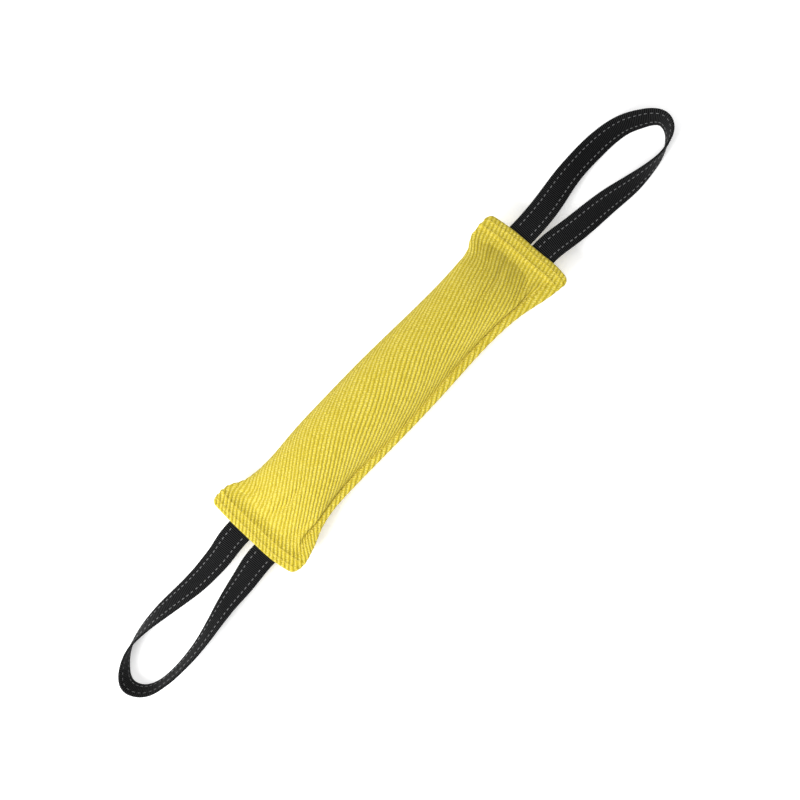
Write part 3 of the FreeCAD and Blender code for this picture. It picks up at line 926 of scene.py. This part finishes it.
def make_threads(surface):
    """The upper and lower thread of each end row and of the side seam."""
    material = yarn_material("yellow_thread", *THREAD_SHADE_AND_HIGHLIGHT_COLOURS, 0.7)
    normals = grid_normals(surface)
    columns = surface.shape[1]
    fold = TUBE_COLUMN + ROUND_ROWS // 2
    upper = slice(1 + LIP_ROWS, fold)
    lower = slice(columns - 2 - LIP_ROWS, fold, -1)
    for sign, end in ((-1, "left"), (1, "right")):
        for which, inset in (("outer", OUTER_ROW_INSET), ("inner", INNER_ROW_INSET)):
            row = int(np.argmin(np.abs(ROW_X - sign * (HALF_LENGTH - inset))))
            for thread, part in (("needle", upper), ("bobbin", lower)):
                name = f"{end}_end_{which}_row_{thread}_stitches"
                stitch_row(name, surface[row, part], normals[row, part], 0.03, 0.97, material)
    for thread, column in (("needle", SEAM_COLUMN), ("bobbin", columns - 1 - SEAM_COLUMN)):
        line = surface[:, column]
        stitch_row(f"side_seam_{thread}_stitches", line, normals[:, column], 0.05, 0.95, material)


# ---------------------------------------------------------------- webbing

def strap_points(strap, hinge):
    """The points that a strap's middle line passes through, tails included, and its roll at each."""
    sign = strap["sign"]
    leg_offset = (WEBBING_WIDTH + strap["leg_gap"]) / 2
    hinge_x, middle_y = abs(hinge[0]), hinge[1]
    points, rolls = [], []
    tail_end = TAIL_INNER_X + TAIL_MARGIN
    tails = (tail_end, tail_end + TAIL_LENGTH, HALF_LENGTH - SEAM_MARGIN)
    for x in tails:
        points.append((sign * x, middle_y + leg_offset, SEAM_Z))
        rolls.append(0.0)
    for share, leg, shift, roll in strap["route"]:
        lean = math.radians(roll)
        standing = WEBBING_WIDTH * abs(math.sin(lean)) + WEBBING_THICKNESS * abs(math.cos(lean))
        rest_z = standing / 2 + FLOOR_GAP
        held = math.cos(share * math.pi / 2) ** 2
        x = sign * (hinge_x + share * strap["reach"])
        points.append((x, middle_y + leg * leg_offset + shift, rest_z + (SEAM_Z - rest_z) * held))
        rolls.append(roll)
    for x in reversed(tails):
        points.append((sign * x, middle_y - leg_offset, SEAM_Z))
        rolls.append(180.0)
    return np.array(points), rolls


def strap_frames(strap, hinge):
    """Rows along a strap: middle points, width directions, face normals and distances."""
    points, rolls = strap_points(strap, hinge)
    chords = lengths_along(points)
    fine = np.linspace(0, chords[-1], ROUTE_STEPS)
    line = spline(chords, points, fine)
    travelled = lengths_along(line)
    count = int(travelled[-1] / WEBBING_STEP) + 1
    distance = np.linspace(0, travelled[-1], count)
    middle = read_along(distance, travelled, line)
    roll = np.radians(np.interp(np.interp(distance, travelled, fine), chords, rolls))
    roll = smoothed(roll, ROLL_SMOOTHING)[:, None]
    along = np.gradient(middle, axis=0)
    along /= np.linalg.norm(along, axis=1, keepdims=True)
    level = np.cross([0, 0, 1], along)
    level /= np.linalg.norm(level, axis=1, keepdims=True)
    across = level * np.cos(roll) + np.cross(along, level) * np.sin(roll)
    return middle, across, np.cross(along, across), distance


def webbing_section():
    """Half the section: places across the strap with the surface's height over its middle plane."""
    half_thick = WEBBING_THICKNESS / 2
    flat_half = WEBBING_WIDTH / 2 - WEBBING_EDGE
    left = []
    for turn in np.linspace(math.pi / 2, 0, 4)[:-1]:
        place = -flat_half - WEBBING_EDGE * math.sin(turn)
        left.append((place, half_thick - WEBBING_EDGE * (1 - math.cos(turn))))
    face = [(place, half_thick) for place in np.linspace(-flat_half, flat_half, WEBBING_COLUMNS)]
    right = [(-place, height) for place, height in left[::-1]]
    return left + face + right


def make_webbing(name, strap, hinge, material):
    """One strap, tails included, with its ribs and toothed edges. Its rows go back too, for the tracers."""
    middle, across, normal, distance = strap_frames(strap, hinge)
    upper = np.array(webbing_section())
    section = np.concatenate([upper, upper[::-1] * [1, -1]])
    side = np.sign(section[:, 1])
    ribs = np.cos(2 * math.pi * distance / WEBBING_RIB)[:, None]
    yarns = np.cos(2 * math.pi * section[:, 0] / (2 * FACE_YARN))[None, :]
    inside = ease(WEBBING_WIDTH / 2 - np.abs(section[:, 0]), *SELVEDGE)[None, :]
    relief = RIB_RELIEF * ribs * (0.75 + 0.25 * yarns) * inside
    teeth = 1 + EDGE_TEETH * ribs * (1 - inside)
    a = section[None, :, 0] * teeth
    h = section[None, :, 1] + side[None, :] * relief
    points = middle[:, None] + across[:, None] * a[..., None] + normal[:, None] * h[..., None]
    faces = closed_tube_faces(*points.shape[:2])
    weave = np.stack([distance[:, None] + 0 * h, a + 0 * h, side[None, :] + 0 * h], axis=-1)
    webbing = make_mesh(f"{name}_handle_strap", points, faces, {"weave": weave})
    webbing.data.materials.append(material)
    return webbing, (middle, across, normal, distance)


def tracer_dash(centre, along, across, normal):
    """One dash: a low pillow of yarn, flat underneath."""
    columns, rows = 5, 7
    u, v = np.meshgrid(np.linspace(-1, 1, rows), np.linspace(-1, 1, columns), indexing="ij")
    dome = TRACER_HEIGHT * np.sqrt(np.maximum((1 - u ** 4) * (1 - v ** 4), 0))
    flat = centre + along * (u * TRACER_LENGTH / 2)[..., None] + across * (v * TRACER_WIDTH / 2)[..., None]
    top = flat + normal * (dome + TRACER_EDGE)[..., None]
    base = top - normal * (dome + TRACER_ROOT)[..., None]
    points = np.concatenate([top.reshape(-1, 3), base.reshape(-1, 3)])
    faces = []
    under = rows * columns
    for i in range(rows - 1):
        for j in range(columns - 1):
            k = i * columns + j
            faces.append((k, k + columns, k + columns + 1, k + 1))
            faces.append((under + k, under + k + 1, under + k + columns + 1, under + k + columns))
    rim = list(range(columns))
    rim += [i * columns + columns - 1 for i in range(1, rows)]
    rim += [(rows - 1) * columns + j for j in range(columns - 2, -1, -1)]
    rim += [i * columns for i in range(rows - 2, 0, -1)]
    for n, k in enumerate(rim):
        m = rim[(n + 1) % len(rim)]
        faces.append((k, m, under + m, under + k))
    yarn = np.stack([u * TRACER_LENGTH / 2, v, 0 * u], axis=-1).reshape(-1, 3)
    return points, faces, np.concatenate([yarn, yarn])


def make_tracer(name, rows, offset, material, which):
    """One tracer row: dashes on both faces of the strap, outside the end seam."""
    middle, across, normal, distance = rows
    free = np.abs(middle[:, 0]) > HALF_LENGTH + TRACER_START
    start, stop = distance[free][0], distance[free][-1]
    count = int((stop - start) / TRACER_PITCH)
    vertices, faces, yarns = [], [], []
    lift = WEBBING_THICKNESS / 2 + TRACER_LIFT
    for face in DASH_PHASES:
        for n in range(count):
            at = start + (n + DASH_PHASES[face]) * TRACER_PITCH
            k = int(np.argmin(np.abs(distance - at)))
            along = middle[min(k + 1, len(middle) - 1)] - middle[k - 1]
            along = along / np.linalg.norm(along)
            out = normal[k] * face
            centre = middle[k] + across[k] * offset + out * lift
            points, dash_faces, yarn = tracer_dash(centre, along, across[k] * face, out)
            base = len(vertices) * len(points)
            faces += [[base + v for v in each] for each in dash_faces]
            vertices.append(points)
            yarns.append(yarn)
    piece = make_mesh(
        f"{name}_handle_dashes_{which}_row",
        np.concatenate(vertices),
        faces,
        {"yarn": np.concatenate(yarns)},
    )
    piece.data.materials.append(material)
    return piece


def across_the_fold(piece):
    """Bakes the piece's transform into its mesh."""
    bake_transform(piece)


def make_handles():
    black = webbing_material()
    grey = yarn_material("grey_tracer_yarn", *TRACER_SHADE_AND_HIGHLIGHT_COLOURS, 0.45)
    offset = WEBBING_WIDTH / 2 - TRACER_INSET
    for name, strap in STRAPS.items():
        hinge = HINGES[f"{name}_handle"]
        webbing, rows = make_webbing(name, strap, hinge, black)
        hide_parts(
            f"{name}_handle_webbing",
            f"{name}_handle_tail_fold_side",
            f"{name}_handle_tail_seam_side",
        )
        across_the_fold(webbing)
        for which, place in (("first", -offset), ("second", offset)):
            tracer = make_tracer(name, rows, place, grey, which)
            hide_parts(f"{name}_handle_tracer_{which}_row")
            across_the_fold(tracer)


# ---------------------------------------------------------------- camera, light and floor

VIEW_TURN = math.radians(-46.1)     # the roll's own +X, from the picture's right
VIEW_CENTRE = (0.0, -0.0097)
VIEW_WIDTH = 0.5818                 # of what the picture shows, at the straps' height
LENS = 100.0
SENSOR = 36.0
KEY_LIGHT = {"place": (-1.2, 0.1, 0.95), "size": 0.6, "power": 27.0}
FILL_LIGHT = {"place": (0.3, 0.3, 1.9), "size": 1.6, "power": 16.5}
SKY_STRENGTH = 0.5
FLOOR_HALF = 20000.0                # millimetres


def add_camera():
    camera = bpy.data.cameras.new("camera")
    camera.lens = LENS
    camera.sensor_width = SENSOR
    camera.clip_start = 0.05
    camera.clip_end = 20.0
    obj = bpy.data.objects.new("camera", camera)
    height = SEAM_Z * MM + VIEW_WIDTH * LENS / SENSOR
    obj.location = (*VIEW_CENTRE, height)
    obj.rotation_euler = (0, 0, VIEW_TURN)
    bpy.context.scene.collection.objects.link(obj)
    bpy.context.scene.camera = obj


def add_area(name, place, size, power):
    """A square light that faces the object."""
    light = bpy.data.lights.new(name, "AREA")
    light.shape = "SQUARE"
    light.size = size
    light.energy = power
    obj = bpy.data.objects.new(name, light)
    obj.location = place
    obj.rotation_euler = (-Vector(place)).to_track_quat("-Z", "Y").to_euler()
    bpy.context.scene.collection.objects.link(obj)


def add_light():
    add_area("key_light", **KEY_LIGHT)
    add_area("fill_light", **FILL_LIGHT)
    world = bpy.data.worlds.new("studio")
    world.use_nodes = True
    background = world.node_tree.nodes["Background"]
    background.inputs["Color"].default_value = (1.0, 1.0, 1.0, 1.0)
    background.inputs["Strength"].default_value = SKY_STRENGTH
    bpy.context.scene.world = world
    bpy.context.scene.view_settings.view_transform = "Standard"


def add_floor():
    far = FLOOR_HALF
    corners = [(-far, -far, 0), (far, -far, 0), (far, far, 0), (-far, far, 0)]
    floor = make_mesh("floor", np.array(corners), [(0, 1, 2, 3)])
    floor.data.materials.append(floor_material())


# ---------------------------------------------------------------- the whole

add_camera()
add_light()
add_floor()
cover, cover_surface = make_cover()
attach(cover, "stuffed_body")
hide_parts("cover")
stuffing = make_stuffing(cover_surface)
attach(stuffing, "stuffed_body")
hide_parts("stuffing_core")
make_threads(cover_surface)
make_handles()
